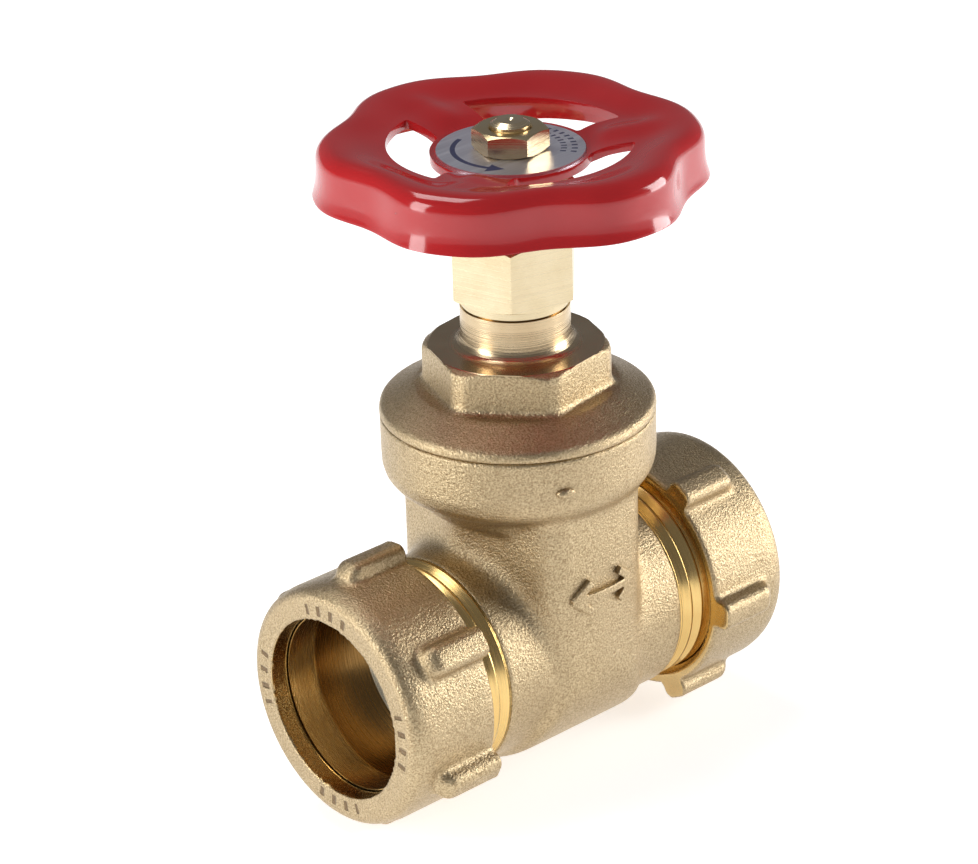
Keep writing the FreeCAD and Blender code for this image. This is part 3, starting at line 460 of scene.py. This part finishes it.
def soft_ring(name, colour, dark, scale):
    """A fibrous ring: two tones and a soft lumpy relief."""
    material, tree, shader, place = new_material(name, 0.0, 0.7)
    fibre = add_node(tree, "TexNoise", in_Vector=place, in_Scale=scale, in_Detail=5.0)
    tree.links.new(blend_of(tree, fibre.outputs["Fac"], dark, colour), shader.inputs["Base Color"])
    lump = add_node(tree, "Bump", in_Strength=0.4, in_Distance=0.0001, in_Height=fibre.outputs["Fac"])
    tree.links.new(lump.outputs["Normal"], shader.inputs["Normal"])
    return material


repaint("bonnet_gasket", soft_ring("pressed_fibre", (0.45, 0.16, 0.10, 1), (0.25, 0.08, 0.05, 1), 900.0))
ptfe = soft_ring("ptfe_cord", (0.92, 0.91, 0.88, 1), (0.75, 0.74, 0.70, 1), 1400.0)
for number in (1, 2, 3):
    repaint(f"packing_ring_{number}", ptfe)


# ---- Bonnet ------------------------------------------------------------------
# A casting with a hexagon for the spanner, screwed into the body's flange.
# Its top face and its neck are turned.
hex_top_z = 47.9 * MM
bonnet_casting = copy_of("bonnet", "bonnet_casting")
soften(bonnet_casting, 0.36 * MM, 14,
       lambda spot: spot.z > hex_top_z - 0.5 * MM or spot.z < seam_z + 0.7 * MM)
cut_at(bonnet_casting, (0, 0, hex_top_z), (0, 0, 1))
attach(bonnet_casting, "valve")
bonnet_casting.data.materials.append(cast_brass("cast_brass_bonnet"))
neck = copy_of("bonnet", "bonnet_neck")
cut_at(neck, (0, 0, hex_top_z), (0, 0, -1))
pick_only(neck)
bpy.ops.object.shade_smooth_by_angle(angle=math.radians(30))
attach(neck, "valve")
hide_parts("bonnet")
neck.data.materials.append(turned_brass("neck_brass", "Z", light=(0.62, 0.49, 0.31, 1),
                                        deep=(0.48, 0.33, 0.18, 1), pitch=0.22, depth=0.5))


# ---- Stem, stuffing box and gland --------------------------------------------
# Turned and milled from drawn brass bar, so the edges are crisp and the faces bright.
# The stuffing box is screwed into the neck, and the gland nut onto the stuffing box.
bar_brass = turned_brass("bar_brass", "Z", light=(0.70, 0.59, 0.39, 1), deep=(0.56, 0.44, 0.25, 1),
                         pitch=0.6, depth=0.12)
repaint("stem", turned_brass("stem_brass", "Z", light=(0.78, 0.66, 0.46, 1), pitch=0.1))
repaint("stuffing_box", bar_brass)
repaint("gland", bar_brass)
repaint("gland_nut", bar_brass)


# ---- Handwheel ---------------------------------------------------------------
# Pressed from one steel sheet with a turned-down lobed rim, then dipped in red enamel.
# Three kidney windows leave three spokes, each with a soft raised rib.
wheel_turn = math.radians(28)
wheel_lobes = 6
wheel_lobe, lobe_power = 1.25 * MM, 1.6
rib_width, rib_height = 2.6 * MM, 0.7 * MM
sheet = 1.35 * MM
around = 144
smooth_steps = 8
hollow_radius, hollow_height = 18.1, 80.1
crest_radius, crest_height = 25.25, 81.7
fold_radius = 2.35

# Radius and height in mm, and share of the lobe, for each ring from the hole outwards.
profile = [(5.0, 78.5, 0), (10.6, 78.5, 0), (11.3, 78.53, 0), (12.0, 78.72, 0), (12.9, 79.1, 0),
           (14.0, 79.5, 0), (15.2, 79.74, 0), (16.6, 79.95, 0), (17.8, 80.08, 0.02)]
for step in range(1, smooth_steps):
    rise = step / smooth_steps
    eased = (1 - math.cos(math.pi * rise)) / 2
    profile.append((hollow_radius + (crest_radius - hollow_radius) * rise,
                    hollow_height + (crest_height - hollow_height) * eased, 0.8 * rise))
for degrees in range(90, -1, -15):
    angle = math.radians(degrees)
    profile.append((crest_radius + fold_radius * math.cos(angle),
                    crest_height - fold_radius + fold_radius * math.sin(angle),
                    1 - 0.2 * degrees / 90))
profile += [(27.62, 78.4, 1), (27.66, 77.0, 1), (27.78, 75.6, 1), (28.1, 74.3, 1), (28.34, 73.55, 1)]

bpy.ops.object.select_all(action="DESELECT")
bpy.ops.mesh.primitive_circle_add(vertices=around, radius=profile[0][0] * MM,
                                  location=(0, 0, profile[0][1] * MM))
wheel = bpy.context.object
wheel.name = wheel.data.name = "handwheel_pressing"
bpy.ops.object.transform_apply(location=True)
bpy.ops.object.mode_set(mode="EDIT")
bpy.ops.mesh.select_all(action="SELECT")
for before, after in zip(profile, profile[1:]):
    bpy.ops.mesh.extrude_region_move()
    growth = after[0] / before[0]
    bpy.ops.transform.resize(value=(growth, growth, 1), center_override=(0, 0, 0))
    bpy.ops.transform.translate(value=(0, 0, (after[1] - before[1]) * MM))
bpy.ops.object.mode_set(mode="OBJECT")

# Each ring's points move in and out by its share of the lobe, and up over the spokes.
for spot in wheel.data.vertices:
    ring = min(profile, key=lambda place: abs(place[0] * MM - spot.co.to_2d().length)
               + abs(place[1] * MM - spot.co.z))
    heading = math.atan2(spot.co.y, spot.co.x)
    hollow = (1 - math.cos(wheel_lobes * (heading - wheel_turn))) / 2
    reach = spot.co.to_2d().length
    wanted = reach + wheel_lobe * ring[2] * (1 - 2 * hollow ** lobe_power)
    spot.co.x *= wanted / reach
    spot.co.y *= wanted / reach
    off_spoke = math.remainder(heading - wheel_turn - math.radians(60), math.radians(120))
    beside = off_spoke * reach
    rib = math.exp(-(beside / rib_width) ** 2) * rib_height
    from_hub = min(1, max(0, (reach - 11.9 * MM) / (3.0 * MM)))
    to_crest = min(1, max(0, (23.5 * MM - reach) / (4 * MM)))
    along = from_hub * to_crest
    spot.co.z += rib * along * along * (3 - 2 * along)
pick_only(wheel)
bpy.ops.object.mode_set(mode="EDIT")
bpy.ops.mesh.select_all(action="SELECT")
bpy.ops.mesh.normals_make_consistent(inside=False)
bpy.ops.object.mode_set(mode="OBJECT")
if sum(face.normal.z for face in wheel.data.polygons) < 0:
    bpy.ops.object.mode_set(mode="EDIT")
    bpy.ops.mesh.select_all(action="SELECT")
    bpy.ops.mesh.flip_normals()
    bpy.ops.object.mode_set(mode="OBJECT")
apply_modifier(wheel, "SUBSURF", levels=1)
apply_modifier(wheel, "SOLIDIFY", thickness=sheet, offset=-1, use_even_offset=True)
wheel.data.update()

# A kidney-shaped cutter for each of the three windows, with rounded corners.
window_inner, window_outer = 12.0 * MM, 18.4 * MM
half_outer, half_inner = math.radians(43), math.radians(43 * 0.86)
for window in range(3):
    bpy.ops.object.select_all(action="DESELECT")
    bpy.ops.mesh.primitive_grid_add(x_subdivisions=28, y_subdivisions=1, size=1, location=(0, 0, 0))
    cutter = bpy.context.object
    cutter.name = f"window_cutter_{window}"
    centre = wheel_turn + math.radians(120 * window)
    for spot in cutter.data.vertices:
        inward = spot.co.y < 0
        bend = spot.co.x * 2 * (half_inner if inward else half_outer)
        reach = window_inner if inward else window_outer
        heading = centre + bend
        spot.co = (reach * math.cos(heading), reach * math.sin(heading), 75.0 * MM)
    corners = cutter.vertex_groups.new(name="corners")
    for spot in cutter.data.vertices:
        aside = abs(math.remainder(math.atan2(spot.co.y, spot.co.x) - centre, 2 * math.pi))
        half = half_inner if spot.co.to_2d().length < window_inner + 0.1 * MM else half_outer
        if aside > half - 0.001:
            corners.add([spot.index], 1.0, "REPLACE")
    pick_only(cutter)
    apply_modifier(cutter, "BEVEL", affect="VERTICES", width=2.4 * MM, segments=8,
                   limit_method="VGROUP", vertex_group="corners")
    bpy.ops.object.mode_set(mode="EDIT")
    bpy.ops.mesh.select_all(action="SELECT")
    bpy.ops.mesh.extrude_region_move(TRANSFORM_OT_translate={"value": (0, 0, 9 * MM)})
    bpy.ops.mesh.select_all(action="SELECT")
    bpy.ops.mesh.normals_make_consistent(inside=False)
    bpy.ops.object.mode_set(mode="OBJECT")
    apply_modifier(wheel, "BOOLEAN", operation="DIFFERENCE", object=cutter, solver="EXACT")
    bpy.data.objects.remove(cutter)
apply_modifier(wheel, "BEVEL", width=0.22 * MM, segments=3, limit_method="ANGLE",
               angle_limit=math.radians(50))
pick_only(wheel)
bpy.ops.object.shade_smooth_by_angle(angle=math.radians(40))
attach(wheel, "spindle")
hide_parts("handwheel")

enamel, tree, shader, place = new_material("red_enamel", 0.0, 0.13)
shader.inputs["Coat Weight"].default_value = 0.35
shader.inputs["Coat Roughness"].default_value = 0.05
flow = add_node(tree, "TexNoise", in_Vector=place, in_Scale=110.0, in_Detail=2.0)
sag = add_node(tree, "Bump", in_Strength=0.22, in_Distance=0.0005, in_Height=flow.outputs["Fac"])
tree.links.new(sag.outputs["Normal"], shader.inputs["Normal"])
scuff = add_node(tree, "TexVoronoi", in_Vector=place, in_Scale=55.0)
edge = add_node(tree, "TexNoise", in_Vector=place, in_Scale=700.0, in_Detail=3.0)
jagged = add_node(tree, "Math", operation="MULTIPLY_ADD", in_0=edge.outputs["Fac"], in_1=0.10,
                  in_2=scuff.outputs["Distance"])
chip = stretch(tree, jagged.outputs[0], 0.125, 0.105)
red = blend_of(tree, flow.outputs["Fac"], (0.40, 0.010, 0.012, 1), (0.50, 0.016, 0.018, 1))
tree.links.new(blend_of(tree, chip, red, (0.10, 0.02, 0.02, 1)), shader.inputs["Base Color"])
tree.links.new(stretch(tree, chip, 0, 1, 0.13, 0.5), shader.inputs["Roughness"])
wheel.data.materials.append(enamel)


# ---- Identification disc and handwheel nut -----------------------------------
# Thin rolled aluminium printed with a turning arrow and ticks, under a brass nut.
# Both are held down on the shoulder above the stem's square.
disc_bottom_z = 78.5 * MM
disc_metal, tree, shader, place = new_material("disc_aluminium", 1.0, 0.22)
split = add_node(tree, "SeparateXYZ", in_Vector=place)
rolled = add_node(tree, "Mapping", in_Vector=place, in_Scale=(40.0, 2600.0, 40.0))
streak = add_node(tree, "TexNoise", in_Vector=rolled.outputs[0], in_Scale=1.0, in_Detail=3.0)
reach = radius_about(tree, split.outputs["X"], split.outputs["Y"])
heading = add_node(tree, "Math", operation="ARCTAN2", in_0=split.outputs["Y"], in_1=split.outputs["X"])
turned_round = add_node(tree, "VectorMath", operation="SCALE", in_Vector=place, in_Scale=-1.0)
other_side = add_node(tree, "SeparateXYZ", in_Vector=turned_round.outputs[0])
heading_left = add_node(tree, "Math", operation="ARCTAN2", in_0=other_side.outputs["Y"],
                        in_1=other_side.outputs["X"])


def band(tree, amount, low, high, soft):
    """One between low and high, zero outside, with a soft step at each end."""
    rise = stretch(tree, amount, low - soft, low + soft)
    fall = stretch(tree, amount, high + soft, high - soft)
    return add_node(tree, "Math", operation="MULTIPLY", in_0=rise, in_1=fall).outputs[0]


arc = add_node(tree, "Math", operation="MULTIPLY", in_0=band(tree, reach, 8.2 * MM, 9.0 * MM, 0.04 * MM),
               in_1=band(tree, heading_left.outputs[0], -1.25, 0.45, 0.01)).outputs[0]
off_line = add_node(tree, "Math", operation="SUBTRACT", in_0=reach, in_1=8.6 * MM)
off_line = add_node(tree, "Math", operation="ABSOLUTE", in_0=off_line.outputs[0])
taper = stretch(tree, heading_left.outputs[0], 0.43, 0.73, 1.45 * MM, 0)
head = add_node(tree, "Math", operation="LESS_THAN", in_0=off_line.outputs[0], in_1=taper)
head = add_node(tree, "Math", operation="MULTIPLY", in_0=head.outputs[0],
                in_1=band(tree, heading_left.outputs[0], 0.43, 0.73, 0.002)).outputs[0]
teeth = add_node(tree, "Math", operation="MULTIPLY", in_0=heading.outputs[0], in_1=44.0)
teeth = add_node(tree, "Math", operation="SINE", in_0=teeth.outputs[0])
teeth = stretch(tree, teeth.outputs[0], 0.15, 0.45)
for limits in ((7.4 * MM, 8.3 * MM), (9.0 * MM, 9.9 * MM)):
    row = add_node(tree, "Math", operation="MULTIPLY", in_0=teeth,
                   in_1=band(tree, reach, *limits, 0.04 * MM))
    row = add_node(tree, "Math", operation="MULTIPLY", in_0=row.outputs[0],
                   in_1=band(tree, heading.outputs[0], -1.0, 0.9, 0.01))
    arc = add_node(tree, "Math", operation="MAXIMUM", in_0=arc, in_1=row.outputs[0]).outputs[0]
print_ink = add_node(tree, "Math", operation="MAXIMUM", in_0=arc, in_1=head).outputs[0]
top_only = stretch(tree, split.outputs["Z"], disc_bottom_z + 0.25 * MM, disc_bottom_z + 0.3 * MM)
print_ink = add_node(tree, "Math", operation="MULTIPLY", in_0=print_ink, in_1=top_only).outputs[0]
plate = blend_of(tree, streak.outputs["Fac"], (0.74, 0.74, 0.84, 1), (0.92, 0.92, 0.98, 1))
tree.links.new(blend_of(tree, print_ink, plate, (0.035, 0.04, 0.10, 1)), shader.inputs["Base Color"])
tree.links.new(stretch(tree, print_ink, 0, 1, 1, 0), shader.inputs["Metallic"])
tree.links.new(stretch(tree, streak.outputs["Fac"], 0.3, 0.7, 0.30, 0.45), shader.inputs["Roughness"])
repaint("identification_disc", disc_metal)
repaint("handwheel_nut", turned_brass("wheel_nut_brass", "Z", light=(0.74, 0.60, 0.36, 1), pitch=0.4))


# ---- Compression rings and nuts ----------------------------------------------
# Each nut is a casting with six grip lugs, bored and threaded inside and faced at its
# inner end.  Sunk ticks stand on the outer face where a maker stamps the size.
ring_brass = turned_brass("ring_brass", "X", light=(0.80, 0.60, 0.30, 1))
nut_inner_x, nut_face_x = 23.5 * MM, 39.25 * MM
nut_brass, tree, shader, place = new_material("nut_brass", 1.0, 0.5)
split = add_node(tree, "SeparateXYZ", in_Vector=place)
colour, skin = cast_surface(tree, place)
tool = place_group(tree, marks, Along=split.outputs["X"], Vector=place, Pitch=0.15, Depth=0.3)
out_along = add_node(tree, "Math", operation="ABSOLUTE", in_0=split.outputs["X"])
reach = radius_about(tree, split.outputs["Y"], split.outputs["Z"])
faced = stretch(tree, out_along.outputs[0], nut_inner_x + 0.12 * MM, nut_inner_x + 0.05 * MM)
bored = stretch(tree, reach, 17.75 * MM, 17.6 * MM)
clear_of_face = stretch(tree, out_along.outputs[0], nut_face_x - 0.3 * MM, nut_face_x - 0.5 * MM)
bored = add_node(tree, "Math", operation="MULTIPLY", in_0=bored, in_1=clear_of_face)
mouth = stretch(tree, reach, 14.45 * MM, 14.35 * MM)
machined = add_node(tree, "Math", operation="MAXIMUM", in_0=faced, in_1=bored.outputs[0])
machined = add_node(tree, "Math", operation="MAXIMUM", in_0=machined.outputs[0], in_1=mouth)
heading = add_node(tree, "Math", operation="ARCTAN2", in_0=split.outputs["Z"], in_1=split.outputs["Y"])
teeth = add_node(tree, "Math", operation="MULTIPLY", in_0=heading.outputs[0], in_1=36.0)
teeth = add_node(tree, "Math", operation="SINE", in_0=teeth.outputs[0])
teeth = stretch(tree, teeth.outputs[0], 0.45, 0.75)
groups = add_node(tree, "Math", operation="MULTIPLY", in_0=heading.outputs[0], in_1=4.0)
groups = add_node(tree, "Math", operation="COSINE", in_0=groups.outputs[0])
groups = stretch(tree, groups.outputs[0], 0.30, 0.32)
inner_edge = stretch(tree, reach, 15.15 * MM, 15.25 * MM)
outer_edge = stretch(tree, reach, 16.85 * MM, 16.75 * MM)
on_face = stretch(tree, out_along.outputs[0], nut_face_x - 0.2 * MM, nut_face_x - 0.15 * MM)
ticks = teeth
for share in (groups, inner_edge, outer_edge, on_face):
    ticks = add_node(tree, "Math", operation="MULTIPLY", in_0=ticks, in_1=share).outputs[0]
# The sunk ticks are painted dark brown, a painted shade in their stamped recesses.
cast_with_painted_tick_shade = blend_of(tree, stretch(tree, ticks, 0, 1, 0, 0.85), colour, (0.16, 0.10, 0.05, 1))
cut_colour = blend_of(tree, stretch(tree, tool.outputs["Tarnish"], 0, 1, 0, 0.5), (0.66, 0.49, 0.24, 1),
                      (0.44, 0.30, 0.13, 1))
tree.links.new(blend_of(tree, machined.outputs[0], cast_with_painted_tick_shade, cut_colour), shader.inputs["Base Color"])
rough = stretch(tree, skin.outputs["Specks"], 0, 1, 0.44, 0.28)
smooth = add_node(tree, "Math", operation="MULTIPLY_ADD", in_0=machined.outputs[0], in_1=-0.14, in_2=rough)
tree.links.new(smooth.outputs[0], shader.inputs["Roughness"])
sunk = add_node(tree, "Bump", in_Strength=1.0, in_Distance=0.00025, in_Height=ticks, invert=True,
                in_Normal=skin.outputs["Normal"])
which = tree.nodes.new("ShaderNodeMix")
which.data_type = "VECTOR"
tree.links.new(machined.outputs[0], which.inputs[0])
tree.links.new(sunk.outputs["Normal"], which.inputs[4])
tree.links.new(tool.outputs["Normal"], which.inputs[5])
tree.links.new(which.outputs[1], shader.inputs["Normal"])

for name in ("left", "right"):
    repaint(f"compression_ring_{name}", ring_brass)
    nut = copy_of(f"compression_nut_{name}", f"nut_casting_{name}")
    soften(nut, 0.36 * MM, 12, lambda spot: abs(spot.x) < nut_inner_x + 0.7 * MM
           or math.hypot(spot.y, spot.z) < 17.2 * MM)
    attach(nut, f"{name}_nut")
    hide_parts(f"compression_nut_{name}")
    nut.data.materials.append(nut_brass)
